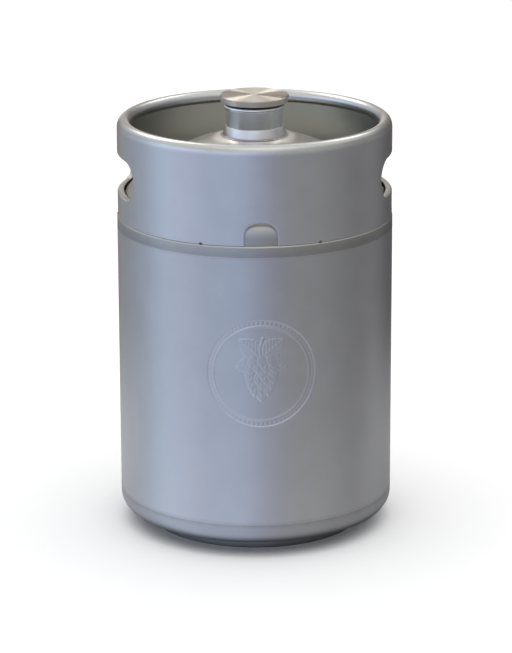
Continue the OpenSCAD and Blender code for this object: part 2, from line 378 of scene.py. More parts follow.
@dataclass(frozen=True)
class SteelFinish:
    """A stainless finish: its colour, gloss and the marks of how it was worked."""

    slot: str
    texture: Texture
    colour: Colour
    roughness: float
    dark: float = 0.97            # how much darker its cloudy patches are
    relief: float = 0.15          # strength of the bump
    lines: float = 2400           # circular lines in a metre, where it is turned
    anisotropy: float = 0.0
    # The darker band beside a weld: on the top head it is painted shade, the shoulder bead's shadow on the
    # flange.
    weld_band_height: float = -1.0     # height of a weld with a darker band beside it
    weld_band_reach: float = 9 * MM
    weld_band_colour: Colour = (0.40, 0.39, 0.385)
    band_radius: float = -1.0     # distance from the axis of a band with its own colour
    band_reach: float = 4 * MM
    band_colour: Colour = (0.95, 0.94, 0.90)
    label: str = ""

    def material(self, effects: Effects) -> bpy.types.Material:
        """The finish as a material.

        Args:
            effects: The shared shader groups.

        Returns:
            The material.
        """
        made = bpy.data.materials.new(self.label or self.slot)
        made.use_nodes = True
        tree = Tree(made.node_tree)
        shader = made.node_tree.nodes["Principled BSDF"]
        grain = tree.add("ShaderNodeGroup", node_tree=effects.grain)
        self._tint(tree, shader, grain, effects)
        self._surface(tree, shader, grain, effects)
        shader.inputs["Metallic"].default_value = 1.0
        if self.anisotropy:
            shader.inputs["Anisotropic"].default_value = self.anisotropy
            shader.inputs["Anisotropic Rotation"].default_value = ACROSS_THE_LINES
            tangent = tree.add("ShaderNodeTangent", direction_type="RADIAL", axis="Z")
            made.node_tree.links.new(tangent.outputs[0], shader.inputs["Tangent"])
        return made

    def _tint(self, tree: Tree, shader: bpy.types.Node, grain: bpy.types.Node, effects: Effects) -> None:
        """Colour: cloudy steel, darker and warmer beside its weld, with bright hairline scratches. The darker
        band is painted shade on the top head, and the band round the axis is painted shade inside the collar.
        """
        full = (*self.colour, 1)
        low = (*(c * self.dark for c in self.colour), 1)
        bright = (*(min(1.0, c * 1.12) for c in self.colour), 1)
        colour = tree.mix(tree.spread(grain.outputs["Cloud"], 0.35, 0.65), low, full)
        if self.texture is Texture.SATIN:
            colour = tree.mix(tree.math("MULTIPLY", grain.outputs["Scratch"], 0.35), colour, bright)
        # Painted shade: the band beside the weld is darkened, on the top head where the shoulder bead shades
        # the flange.
        if self.weld_band_height > 0:
            band_mask = self._band(tree, effects, self.weld_band_height, -1.0, self.weld_band_reach)
            colour = tree.mix(tree.math("MULTIPLY", band_mask, 0.8), colour, (*self.weld_band_colour, 1))
        # A band round the axis with its own colour; on the collar it is painted shade and warm reflection on
        # the inside face.
        if self.band_radius > 0:
            band = self._band(tree, effects, -1.0, self.band_radius, self.band_reach)
            colour = tree.mix(tree.math("MULTIPLY", band, 0.9), colour, (*self.band_colour, 1))
        tree.tree.links.new(colour, shader.inputs["Base Color"])

    def _band(self, tree: Tree, effects: Effects, height: float, radius: float,
              reach: float) -> bpy.types.NodeSocket:
        """Mask of the ragged band near a height, or near a distance from the axis."""
        node = tree.add("ShaderNodeGroup", node_tree=effects.band_mask)
        node.inputs["Height"].default_value = height
        node.inputs["Radius"].default_value = radius
        node.inputs["Reach"].default_value = reach
        return node.outputs["Mask"]

    def _surface(self, tree: Tree, shader: bpy.types.Node, grain: bpy.types.Node, effects: Effects) -> None:
        """Roughness that varies with the clouds, and the bump of pits or of circular lines."""
        height = grain.outputs["Height"]
        cloud = grain.outputs["Cloud"]
        if self.texture is Texture.TURNED:
            rings = tree.add("ShaderNodeGroup", node_tree=effects.lines)
            rings.inputs["Lines"].default_value = self.lines
            height = rings.outputs["Height"]
            cloud = tree.math("ADD", tree.math("MULTIPLY", cloud, 0.5),
                              tree.math("MULTIPLY", rings.outputs["Band"], 0.5))
        rough = tree.spread(cloud, 0.3, 0.7, self.roughness * 0.95, self.roughness * 1.05)
        tree.tree.links.new(rough, shader.inputs["Roughness"])
        bump = tree.add("ShaderNodeBump", {"Height": height, "Strength": self.relief, "Distance": 0.0002})
        tree.tree.links.new(bump.outputs[0], shader.inputs["Normal"])


@dataclass(frozen=True)
class RubberFinish:
    """The black seal's finish: fine mould texture with a little dust."""

    slot: str = "seal_rubber"
    colour: Colour = (0.012, 0.012, 0.013)
    dusty: Colour = (0.05, 0.05, 0.052)
    roughness: float = 0.55

    def material(self, effects: Effects) -> bpy.types.Material:
        """The finish as a material, made with the shared shader groups."""
        made = bpy.data.materials.new(self.slot)
        made.use_nodes = True
        tree = Tree(made.node_tree)
        shader = made.node_tree.nodes["Principled BSDF"]
        grain = tree.add("ShaderNodeGroup", node_tree=effects.grain)
        grain.inputs["Pits"].default_value = 5200
        grain.inputs["Clouds"].default_value = 260
        dust = tree.spread(grain.outputs["Cloud"], 0.45, 0.75)
        tree.tree.links.new(tree.mix(dust, (*self.colour, 1), (*self.dusty, 1)), shader.inputs["Base Color"])
        tree.tree.links.new(tree.spread(dust, 0, 1, self.roughness, 0.8), shader.inputs["Roughness"])
        bump = tree.add("ShaderNodeBump", {"Height": grain.outputs["Height"], "Strength": 0.3,
                                           "Distance": 0.0002})
        tree.tree.links.new(bump.outputs[0], shader.inputs["Normal"])
        return made


Finish = SteelFinish | RubberFinish
WELD = SteelFinish("weld_steel", Texture.WELDED, (0.56, 0.555, 0.55), 0.34, relief=0.3)


class Wardrobe:
    """Makes each finish's material once and settles finished pieces."""

    def __init__(self) -> None:
        """Starts with the shared effects and no materials."""
        self.effects = Effects()
        self.made: dict[Finish, bpy.types.Material] = {}

    def material(self, finish: Finish) -> bpy.types.Material:
        """The material of a finish."""
        if finish not in self.made:
            self.made[finish] = finish.material(self.effects)
        return self.made[finish]

    def settle(self, piece: bpy.types.Object, node: str, finish: Finish) -> None:
        """Dresses a piece and puts it in place of its node.

        Args:
            piece: The finished piece, at the origin.
            node: The frame's node that it stands for.
            finish: Its finish.
        """
        piece.data.materials.clear()
        piece.data.materials.append(self.material(finish))
        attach(piece, body_of(node))
        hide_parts(node)
        LOG.info("%s stands for %s, %d faces", piece.name, node, len(piece.data.polygons))


# ---------------------------------------------------------------- Geometry Nodes

def geometry_tree(name: str, inputs: dict[str, Any]) -> tuple[Tree, Any, Any]:
    """A new Geometry Nodes tree.

    Args:
        name: The tree's name.
        inputs: Its inputs and their defaults: a number, or an int for a count.

    Returns:
        The tree, its inputs and the node that takes its result.
    """
    group = bpy.data.node_groups.new(name, "GeometryNodeTree")
    group.interface.new_socket("Geometry", in_out="INPUT", socket_type="NodeSocketGeometry")
    group.interface.new_socket("Geometry", in_out="OUTPUT", socket_type="NodeSocketGeometry")
    for label, default in inputs.items():
        kind = "NodeSocketInt" if isinstance(default, int) else "NodeSocketFloat"
        group.interface.new_socket(label, in_out="INPUT", socket_type=kind).default_value = default
    group.interface.new_socket("Material", in_out="INPUT", socket_type="NodeSocketMaterial")
    tree = Tree(group)
    return tree, tree.add("NodeGroupInput").outputs, tree.add("NodeGroupOutput")


def end_tree(tree: Tree, geometry: Any, material: Any, result: bpy.types.Node) -> None:
    """Ends a tree in smooth, real, dressed geometry."""
    smooth = tree.add("GeometryNodeSetShadeSmooth", {"Geometry": geometry}).outputs[0]
    real = tree.add("GeometryNodeRealizeInstances", {"Geometry": smooth}).outputs[0]
    dressed = tree.add("GeometryNodeSetMaterial", {"Geometry": real, "Material": material}).outputs[0]
    tree.tree.links.new(dressed, result.inputs[0])


def bead_tree() -> bpy.types.NodeTree:
    """Sweeps a weld bead along the edges of its object, with even ripples and an uneven width."""
    tree, given, result = geometry_tree("weld_bead", {
        "Half Width": 1.5 * MM, "Half Height": 0.5 * MM, "Ripple Pitch": 1.1 * MM,
        "Ripple Depth": 0.05 * MM, "Sides": 16, "Seed": 1})
    path = tree.add("GeometryNodeMeshToCurve", {"Mesh": given["Geometry"]}).outputs[0]
    path = tree.add("GeometryNodeSetCurveNormal", {"Curve": path}).outputs[0]
    length = tree.add("GeometryNodeSplineParameter").outputs["Length"]
    marked = tree.add("GeometryNodeStoreNamedAttribute", {"Geometry": path, "Name": "along", "Value": length},
                      data_type="FLOAT", domain="POINT").outputs[0]
    unit = tree.add("GeometryNodeCurvePrimitiveCircle", {"Resolution": given["Sides"],
                                                         "Radius": 1.0}).outputs[0]
    size = tree.add("ShaderNodeCombineXYZ", {0: given["Half Height"], 1: given["Half Width"],
                                             2: 1.0}).outputs[0]
    section = tree.add("GeometryNodeTransform", {"Geometry": unit, "Scale": size}).outputs[0]
    bead = tree.add("GeometryNodeCurveToMesh", {"Curve": marked, "Profile Curve": section,
                                                "Fill Caps": True}).outputs[0]
    along = tree.add("GeometryNodeInputNamedAttribute", {"Name": "along"}, data_type="FLOAT").outputs[0]
    wave = tree.math("SINE", tree.math("MULTIPLY", tree.math("DIVIDE", along, given["Ripple Pitch"]),
                                       2 * math.pi))
    drift = tree.add("ShaderNodeTexNoise", {"W": tree.math("ADD", given["Seed"], 0.5), "Scale": 240.0,
                                            "Detail": 2.0}, noise_dimensions="4D").outputs[0]
    uneven = tree.math("SUBTRACT", tree.math("MULTIPLY", drift, 1.6), 1.3)
    lift = tree.math("ADD", tree.math("MULTIPLY", wave, 0.5), uneven)
    push = tree.math("MULTIPLY", lift, given["Ripple Depth"])
    offset = tree.add("ShaderNodeVectorMath", {0: tree.add("GeometryNodeInputNormal").outputs[0],
                                               "Scale": push}, operation="SCALE").outputs[0]
    moved = tree.add("GeometryNodeSetPosition", {"Geometry": bead, "Offset": offset}).outputs[0]
    end_tree(tree, moved, given["Material"], result)
    return tree.tree


def spot_tree() -> bpy.types.NodeTree:
    """Puts one small lumpy weld on each point of its object, turned to face outwards from Z."""
    tree, given, result = geometry_tree("spot_welds", {
        "Half Width": 1.5 * MM, "Half Height": 0.7 * MM, "Proud": 0.7 * MM, "Lumps": 0.1 * MM, "Seed": 3})
    ball = tree.add("GeometryNodeMeshUVSphere", {"Segments": 24, "Rings": 14, "Radius": 1.0}).outputs[0]
    place = tree.add("GeometryNodeInputPosition").outputs[0]
    outward = tree.add("ShaderNodeVectorMath", {0: place, 1: (1, 1, 0)}, operation="MULTIPLY").outputs[0]
    turn = tree.add("FunctionNodeAlignRotationToVector", {"Vector": outward}, axis="X").outputs[0]
    vary = tree.add("FunctionNodeRandomValue", {2: 0.85, 3: 1.0, "Seed": given["Seed"]},
                    data_type="FLOAT").outputs[1]
    width = tree.math("MULTIPLY", given["Half Width"], vary)
    size = tree.add("ShaderNodeCombineXYZ", {0: given["Proud"], 1: width,
                                             2: given["Half Height"]}).outputs[0]
    spots = tree.add("GeometryNodeInstanceOnPoints", {"Points": given["Geometry"], "Instance": ball,
                                                      "Rotation": turn, "Scale": size}).outputs[0]
    real = tree.add("GeometryNodeRealizeInstances", {"Geometry": spots}).outputs[0]
    drift = tree.add("ShaderNodeTexNoise", {"Scale": 1100.0, "Detail": 2.0}).outputs[0]
    push = tree.math("MULTIPLY", tree.math("SUBTRACT", drift, 0.75), given["Lumps"])
    offset = tree.add("ShaderNodeVectorMath", {0: tree.add("GeometryNodeInputNormal").outputs[0],
                                               "Scale": push}, operation="SCALE").outputs[0]
    moved = tree.add("GeometryNodeSetPosition", {"Geometry": real, "Offset": offset}).outputs[0]
    end_tree(tree, moved, given["Material"], result)
    return tree.tree


def thread_tree() -> bpy.types.NodeTree:
    """Winds a ridge round Z, with tapered ends.

    It isn't a true screw thread yet. It winds left-handed, where the frame's ridges are right-handed, and its
    section lies on its side. With a negative height, as the neck has, the section comes out as a flat strip.
    """
    tree, given, result = geometry_tree("screw_ridge", {
        "Root Radius": 20 * MM, "Ridge Height": 1.5 * MM, "Root Width": 1.5 * MM, "Crest Width": 0.9 * MM,
        "Pitch": 4 * MM, "Turns": 3.0, "Start": 0.3, "Steps": 96})
    rise = tree.math("MULTIPLY", given["Pitch"], given["Turns"])
    path = tree.add("GeometryNodeCurveSpiral", {
        "Resolution": given["Steps"], "Rotations": given["Turns"], "Start Radius": given["Root Radius"],
        "End Radius": given["Root Radius"], "Height": rise}).outputs[0]
    path = tree.add("GeometryNodeSetCurveNormal", {"Curve": path}).outputs[0]
    part = tree.add("GeometryNodeSplineParameter").outputs["Factor"]
    end = tree.math("MULTIPLY", tree.math("MINIMUM", part, tree.math("SUBTRACT", 1.0, part)), given["Turns"])
    path = tree.add("GeometryNodeSetCurveRadius", {"Curve": path,
                                                   "Radius": tree.spread(end, 0, 0.16, 0.12, 1)}).outputs[0]
    section = tree.add("GeometryNodeCurvePrimitiveQuadrilateral", {
        "Height": given["Ridge Height"], "Bottom Width": given["Root Width"],
        "Top Width": given["Crest Width"], "Offset": 0.0}, mode="TRAPEZOID").outputs[0]
    half = tree.math("MULTIPLY", given["Ridge Height"], 0.5)
    lift = tree.add("ShaderNodeCombineXYZ", {0: 0.0, 1: half, 2: 0.0}).outputs[0]
    section = tree.add("GeometryNodeTransform", {"Geometry": section, "Translation": lift}).outputs[0]
    ridge = tree.add("GeometryNodeCurveToMesh", {"Curve": path, "Profile Curve": section,
                                                 "Fill Caps": True}).outputs[0]
    up = tree.add("ShaderNodeCombineXYZ", {0: 0.0, 1: 0.0, 2: given["Start"]}).outputs[0]
    placed = tree.add("GeometryNodeTransform", {"Geometry": ridge, "Translation": up}).outputs[0]
    end_tree(tree, placed, given["Material"], result)
    return tree.tree


class Welder:
    """Makes pieces with the Geometry Nodes trees."""

    def __init__(self, wardrobe: Wardrobe) -> None:
        """Builds the trees; wardrobe gives the materials that they set."""
        self.wardrobe = wardrobe
        self.bead = bead_tree()
        self.spot = spot_tree()
        self.thread = thread_tree()

    def grow(self, name: str, tree: bpy.types.NodeTree, points: Sequence[Vector],
             edges: Sequence[tuple[int, int]], finish: Finish, sizes: dict[str, float]) -> bpy.types.Object:
        """Runs a tree and keeps its result as a plain mesh.

        Args:
            name: The new piece's name.
            tree: The Geometry Nodes tree.
            points: The points that the tree starts from.
            edges: The edges between them.
            finish: The finish whose material the tree sets.
            sizes: Values for the tree's named inputs.

        Returns:
            The piece, with no modifier.
        """
        mesh = bpy.data.meshes.new(name + "_path")
        mesh.from_pydata([tuple(p) for p in points], list(edges), [])
        seed = bpy.data.objects.new(name + "_path", mesh)
        bpy.context.scene.collection.objects.link(seed)
        modifier = seed.modifiers.new("grow", "NODES")
        modifier.node_group = tree
        named = {item.name: item.identifier for item in tree.interface.items_tree if item.in_out == "INPUT"}
        modifier[named["Material"]] = self.wardrobe.material(finish)
        for label, value in sizes.items():
            modifier[named[label]] = value
        graph = bpy.context.evaluated_depsgraph_get()
        grown = bpy.data.meshes.new_from_object(seed.evaluated_get(graph), depsgraph=graph)
        grown.name = name
        bpy.data.objects.remove(seed)
        piece = bpy.data.objects.new(name, grown)
        bpy.context.scene.collection.objects.link(piece)
        return piece

    def upright_bead(self, name: str, low: Vector, high: Vector, sunk: float, sizes: dict[str, float],
                     steps: int) -> bpy.types.Object:
        """A straight weld bead up the back of a wall, as tall as its node.

        Args:
            name: The new piece's name.
            low: The low corner of its node's box.
            high: The high corner of its node's box.
            sunk: How far its middle line lies inside the node's outer face.
            sizes: Values for the bead's named inputs.
            steps: Number of straight pieces.

        Returns:
            The piece.
        """
        points = [Vector((0, high.y - sunk, low.z + (high.z - low.z) * k / steps)) for k in range(steps + 1)]
        return self.grow(name, self.bead, points, [(k, k + 1) for k in range(steps)], WELD, sizes)

    def ridge(self, name: str, node: str, wall: float, height: float, pitch: float, turns: float,
              steel: SteelFinish) -> bpy.types.Object:
        """A screw ridge, level with the middle of its node.

        Args:
            name: The new piece's name.
            node: The frame's node that it stands for.
            wall: Distance from the axis of the wall that it stands on.
            height: How far it stands out, negative towards the axis.
            pitch: Rise in one turn.
            turns: Number of turns.
            steel: Its finish.

        Returns:
            The piece.
        """
        sunk = math.copysign(0.1 * MM, height)
        start = NodeBox.of(node).middle - turns * pitch / 2
        sizes = {"Root Radius": wall - sunk, "Ridge Height": height + sunk, "Pitch": pitch, "Turns": turns,
                 "Start": start}
        return self.grow(name, self.thread, [Vector()], [], steel, sizes)


# ---------------------------------------------------------------- the vessel

@dataclass(frozen=True)
class Medallion:
    """A round stamping on the keg's front: a hop cone between two leaves in a beaded ring.

    Lengths are in millimetres on the unrolled wall, with u to the right and v up from its centre.
    """

    radius: float = 44
    sunk: float = 0.5
    ring_radius: float = 38.5
    pearl_count: int = 72
    pearl_radius: float = 41.4
    cone_top: float = 10
    rows: int = 7
    row_step: float = 4.6
    cone_width: float = 12.5

    def relief(self, u: np.ndarray, v: np.ndarray) -> np.ndarray:
        """Height of the stamping over the wall.

        Args:
            u: Places across, in millimetres.
            v: Places up, in millimetres.

        Returns:
            Heights in metres, negative where the wall is sunk.
        """
        rho = np.hypot(u, v)
        height = -self.sunk * ease((self.radius - rho) / 1.4)
        height += 0.34 * np.exp(-(((rho - self.ring_radius) / 0.75) ** 2))
        turn = np.arctan2(v, u) * self.pearl_count / (2 * math.pi)
        aside = (turn - np.round(turn)) * 2 * math.pi / self.pearl_count * rho
        height += 0.3 * np.exp(-((np.hypot(aside, rho - self.pearl_radius) / 0.85) ** 2))
        raised = np.zeros_like(rho)
        for side in (-1, 1):
            raised = self._leaf(raised, side * u, v, 50, (7.5, 14.5), 21, 7.5)
            raised = self._leaf(raised, side * u, v, 108, (11.5, 9.5), 16, 5.5)
        stem = np.abs(u - 1.2 * np.sin(v * 0.25)) - 0.2
        stalk = np.maximum(raised, 0.34 * ease((1.1 - stem) / 0.9))
        raised = np.where((v > self.cone_top) & (v < 30), stalk, raised)
        raised = self._cone(raised, u, v)
        return (height + raised) * MM

    def _leaf(self, under: np.ndarray, u: np.ndarray, v: np.ndarray, tilt: float, root: Point,
              length: float, half_width: float) -> np.ndarray:
        """A toothed leaf with a midrib and side veins, laid over what is under it."""
        lean = math.radians(tilt)
        along = (u - root[0] + 6) * math.sin(lean) + (v - root[1]) * math.cos(lean)
        across = (u - root[0] + 6) * math.cos(lean) - (v - root[1]) * math.sin(lean)
        share = np.clip(along / length, 0, 1)
        teeth = 1 + 0.16 * np.abs(np.sin(share * math.pi * 6))
        width = half_width * np.sin(math.pi * share ** 0.8) ** 0.8 * teeth
        inside = np.minimum(width - np.abs(across), np.minimum(along, length - along))
        veins = 0.1 * np.cos((along - np.abs(across) * 0.9) * 1.9)
        rib = 0.14 * np.exp(-((across / 0.55) ** 2))
        face = 0.2 * ease(inside / 0.9) + (veins * 0.5 + rib) * ease(inside / 1.5)
        return np.where(inside > 0, np.maximum(face, 0), under)

    def _cone(self, under: np.ndarray, u: np.ndarray, v: np.ndarray) -> np.ndarray:
        """Rows of pointed scales that hang down, each row lapping over the one below."""
        for row in reversed(range(self.rows)):
            middle = self.cone_top - row * self.row_step
            share = (row + 0.6) / self.rows
            reach = self.cone_width * math.sin(math.pi * (0.2 + 0.78 * share) ** 0.9) ** 0.6
            count = 4 if row % 2 else 3
            if row >= self.rows - 2:
                count -= 1
            if row == self.rows - 1:
                count = 1
            for k in range(count):
                where = 0 if count == 1 else (2 * k / (count - 1) - 1) * (reach - 3.4)
                under = self._scale(under, u - where, v - middle, where / self.cone_width)
        return under

    def _scale(self, under: np.ndarray, across: np.ndarray, up: np.ndarray, lean: float) -> np.ndarray:
        """One pointed scale with a soft midrib, leaning outwards to its tip."""
        half_length, half_width = 5.6, 4.1
        across = across + lean * up * 0.35
        share = np.clip(up / half_length, -1, 1)
        width = half_width * (1 - np.abs(share) ** 1.9) ** 0.85
        inside = width - np.abs(across)
        rib = 0.08 * np.exp(-((across / 0.5) ** 2)) * ease((1 - share) / 1.2)
        face = 0.1 + 0.3 * ease(inside / 1.0) * (0.75 - 0.25 * share) + rib
        return np.where((inside > 0) & (np.abs(up) < half_length), face, under)


def ease(share: np.ndarray) -> np.ndarray:
    """Smooth step from 0 to 1."""
    held = np.clip(share, 0, 1)
    return held * held * (3 - 2 * held)


@dataclass
class Vessel:
    """Body cylinder, its two heads, the foot ring and the welds between them."""

    sheet: float = 1 * MM
    fine_step: float = 0.5 * MM        # mesh step over the stamping
    coarse_turn: float = 1.5           # mesh step elsewhere, in degrees
    stamp_height: float = 154 * MM
    bead_half_height: float = 0.35 * MM
    bead_proud: float = 0.09 * MM
    bead_ripple: float = 0.08 * MM
    bead_steps: int = 1500
    node_bead_proud: float = 0.35 * MM  # how far the frame's round welds stand past the wall
    lip_reach: float = 1.88 * MM       # from the lip's edge in to the head's hole for the neck
    under_bead: float = 1 * MM         # how far the walls run on under the round welds
    knuckle_radius: float = 20 * MM
    skirt_inset: float = 2.1 * MM      # the skirt stands in from the body's wall
    skirt_height: float = 5 * MM
    bead_radius: float = 1.8 * MM      # rounding of the shoulder bead
    corner_radius: float = 13 * MM
    base_rise: float = 14 * MM
    panel_margin: float = 14 * MM      # from the foot ring's wall in to the base's raised panel
    foot_face: float = 6 * MM
    foot_toe: float = 1.5 * MM
    foot_weld_count: int = 6
    foot_weld_length: float = 10 * MM
    medallion: Medallion = field(default_factory=Medallion)

    def build(self, wardrobe: Wardrobe, welder: Welder) -> None:
        """Builds the vessel's pieces and settles them."""
        shell, lower, upper = NodeBox.of("shell"), NodeBox.of("lower_weld"), NodeBox.of("upper_weld")
        satin = SteelFinish("satin_steel", Texture.SATIN, (0.60, 0.605, 0.61), 0.31, label="satin_shell")
        # The top head's colour is darker and warmer than the shell's: painted shade and warm reflection,
        # inside the collar and on the flange.
        head = SteelFinish("satin_steel", Texture.SATIN, (0.47, 0.467, 0.435), 0.35, weld_band_height=upper.middle,
                           weld_band_reach=9 * MM, band_radius=29 * MM,
                           band_reach=7 * MM, label="satin_head")
        foot = SteelFinish("satin_steel", Texture.SATIN, (0.50, 0.505, 0.51), 0.38, weld_band_height=lower.middle,
                           weld_band_reach=5 * MM, label="satin_base")
        wardrobe.settle(self._wall(shell), "shell", satin)
        wardrobe.settle(self._top_head(), "top_head", head)
        wardrobe.settle(self._base_head(), "base_head", foot)
        wardrobe.settle(self._foot_ring(), "foot_ring", foot)
        for box, name, node in ((lower, "lower_bead", "lower_weld"), (upper, "upper_bead", "upper_weld")):
            wardrobe.settle(self._round_bead(welder, name, box), node, WELD)
        wardrobe.settle(self._wall_seam(welder), "shell_seam", WELD)
        wardrobe.settle(self._foot_welds(welder), "foot_welds", WELD)

    def _wall(self, box: NodeBox) -> bpy.types.Object:
        """The body cylinder, with its stamping worked into the front of its outer wall."""
        reach = self.medallion.radius * MM + 2 * MM
        half_turn = reach / box.radius
        fine = np.linspace(FRONT - half_turn, FRONT + half_turn, round(2 * reach / self.fine_step) + 1)
        rest = 2 * math.pi - 2 * half_turn
        coarse_steps = round(math.degrees(rest) / self.coarse_turn)
        coarse = np.linspace(fine[-1], fine[-1] + rest, coarse_steps + 1)[1:-1]
        turns = np.concatenate([fine, coarse])
        middle = self.stamp_height
        rows = np.concatenate([
            np.linspace(box.low - self.under_bead, middle - reach, 17)[:-1],
            np.linspace(middle - reach, middle + reach, round(2 * reach / self.fine_step) + 1),
            np.linspace(middle + reach, box.high + self.under_bead, 10)[1:]])
        angle, height = np.meshgrid(turns, rows)
        relief = self.medallion.relief((angle - FRONT) * box.radius / MM, (height - middle) / MM)
        stamped = np.hypot((angle - FRONT) * box.radius, height - middle) < reach
        radius = box.radius + np.where(stamped, relief, 0)
        outer = np.stack([radius * np.cos(angle), radius * np.sin(angle), height], -1).reshape(-1, 3)
        inner_r = box.radius - self.sheet
        inner = [(inner_r * math.cos(a), inner_r * math.sin(a), z)
                 for z in (rows[0], rows[-1]) for a in turns]
        points = np.concatenate([outer, np.array(inner)])
        columns, levels = len(turns), len(rows)
        faces = []
        for j in range(columns):
            m = (j + 1) % columns
            for i in range(levels - 1):
                faces.append((i * columns + j, i * columns + m, (i + 1) * columns + m, (i + 1) * columns + j))
            base, top = levels * columns, (levels + 1) * columns
            last = (levels - 1) * columns
            faces.append((base + m, base + j, top + j, top + m))
            faces.append((base + j, base + m, m, j))
            faces.append((last + j, last + m, top + m, top + j))
        return make_piece("body_cylinder", points, faces)

    def _top_head(self) -> bpy.types.Object:
        """The top head: flange, shoulder bead, skirt, knuckle and crown, with the neck's hole."""
        box, seat = NodeBox.of("top_head"), NodeBox.of("collar").low
        hole = NodeBox.of("neck_tube").radius - self.lip_reach
        wall, skirt = box.radius, box.radius - self.skirt_inset
        knuckle = (skirt - self.knuckle_radius, seat + self.skirt_height)
        # The crown's arc meets the knuckle's arc smoothly and ends at the hole at the node's full height
        crown_z, crown_r = self._crown(knuckle, hole, box.high)
        meet = math.degrees(math.atan2(knuckle[1] - crown_z, knuckle[0]))
        ledge = seat - self.bead_radius
        low = box.low - self.under_bead
        profile = [(wall - self.sheet, low), (wall, low)]
        profile += arc((wall - self.bead_radius, ledge), self.bead_radius, 0, 90, 8)
        profile += [(skirt, seat)]
        profile += arc(knuckle, self.knuckle_radius, 0, meet, 14)
        ends = [math.degrees(math.acos(hole / r)) for r in (crown_r, crown_r - self.sheet)]
        profile += arc((0, crown_z), crown_r, meet, ends[0], 26)[1:]
        profile += arc((0, crown_z), crown_r - self.sheet, ends[1], meet, 20)
        profile += arc(knuckle, self.knuckle_radius - self.sheet, meet, 0, 10)[1:]
        profile += [(skirt - self.sheet, ledge), (wall - self.sheet, ledge)]
        return revolve("top_head_pressing", profile)

    def _crown(self, knuckle: Point, hole: float, top: float) -> Point:
        """Centre height and radius of the crown arc that is tangent to the knuckle and passes (hole, top)."""
        low, high = knuckle[1] - 400 * MM, knuckle[1]
        for _ in range(60):
            centre = (low + high) / 2
            radius = math.hypot(knuckle[0], knuckle[1] - centre) + self.knuckle_radius
            if math.hypot(hole, top - centre) > radius:
                low = centre
            else:
                high = centre
        return centre, radius

    def _base_head(self) -> bpy.types.Object:
        """The bottom head: rounded edge, flat ring and raised centre panel."""
        box, foot = NodeBox.of("base_head"), NodeBox.of("foot_ring")
        corner = (box.radius - self.corner_radius, box.low + self.corner_radius)
        panel = foot.radius - self.panel_margin
        rise, sheet = self.base_rise, self.sheet
        bend = (panel ** 2 + rise ** 2) / (2 * rise)
        centre = box.low + rise - bend
        edge = math.degrees(math.acos(panel / bend))
        over = math.degrees(math.acos(panel / (bend + sheet)))
        inner = arc((0, centre), bend + sheet, 90, over, 20)
        inner += arc(corner, self.corner_radius - sheet, -90, 0, 12)
        inner += [(box.radius - sheet, box.high + self.under_bead), (box.radius, box.high + self.under_bead)]
        outer = arc(corner, self.corner_radius, 0, -90, 14)
        outer += [(panel + 2 * MM, box.low)]
        outer += arc((0, centre), bend, edge + 0.6, 90, 20)
        profile = list(reversed(inner + outer))
        profile[0] = (0.0, profile[0][1])
        profile[-1] = (0.0, profile[-1][1])
        return revolve("bottom_head", profile, closed=False)

    def _foot_ring(self) -> bpy.types.Object:
        """The foot ring: a wall that turns in to the flat face it stands on."""
        box, sheet, toe = NodeBox.of("foot_ring"), self.sheet, self.foot_toe
        inner = box.radius - self.foot_face
        profile = rounded([
            (inner, box.low, 0.3 * MM), (box.radius, box.low, toe), (box.radius, box.high, 0),
            (box.radius - sheet, box.high, 0), (box.radius - sheet, box.low + sheet, toe - sheet),
            (inner, box.low + sheet, 0.3 * MM)], steps=6)
        return revolve("foot_ring_pressing", profile)

    def _round_bead(self, welder: Welder, name: str, box: NodeBox) -> bpy.types.Object:
        """A weld bead right round the body."""
        middle_radius = box.radius - self.node_bead_proud + self.bead_proud - self.bead_half_height
        points, edges = circle_path(middle_radius, box.middle, self.bead_steps)
        sizes = {"Half Width": (box.high - box.low) / 2, "Half Height": self.bead_half_height,
                 "Ripple Depth": self.bead_ripple, "Seed": 1}
        return welder.grow(name, welder.bead, points, edges, WELD, sizes)

    def _wall_seam(self, welder: Welder) -> bpy.types.Object:
        """The upright weld at the back of the body cylinder."""
        low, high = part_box("shell_seam")
        return welder.upright_bead("body_seam_bead", low, high, 0.5 * MM,
                                   {"Half Width": 0.46 * MM, "Half Height": 1.4 * MM, "Seed": 2}, steps=420)

    def _foot_welds(self, welder: Welder) -> bpy.types.Object:
        """Short welds between the foot ring and the bottom head."""
        box = NodeBox.of("foot_ring")
        points, edges, steps = [], [], 24
        sweep = self.foot_weld_length / box.radius
        for k in range(self.foot_weld_count):
            start = math.radians(30 + 360 * k / self.foot_weld_count) - sweep / 2
            run, joins = circle_path(box.radius + 0.5 * MM, box.high - 0.9 * MM, steps, start, sweep)
            edges += [(a + len(points), b + len(points)) for a, b in joins]
            points += run
        sizes = {"Half Width": 0.9 * MM, "Half Height": 1.0 * MM, "Ripple Depth": 0.1 * MM, "Seed": 5}
        return welder.grow("foot_ring_welds", welder.bead, points, edges, WELD, sizes)


# ---------------------------------------------------------------- the collar

@dataclass(frozen=True)
class Block:
    """A rectangle of the collar wall's grid that an opening takes up."""

    left: int
    right: int
    low: int
    high: int

    def holds(self, column: int, row: int) -> bool:
        """Whether the grid cell lies in the block."""
        return self.left <= column < self.right and self.low <= row < self.high


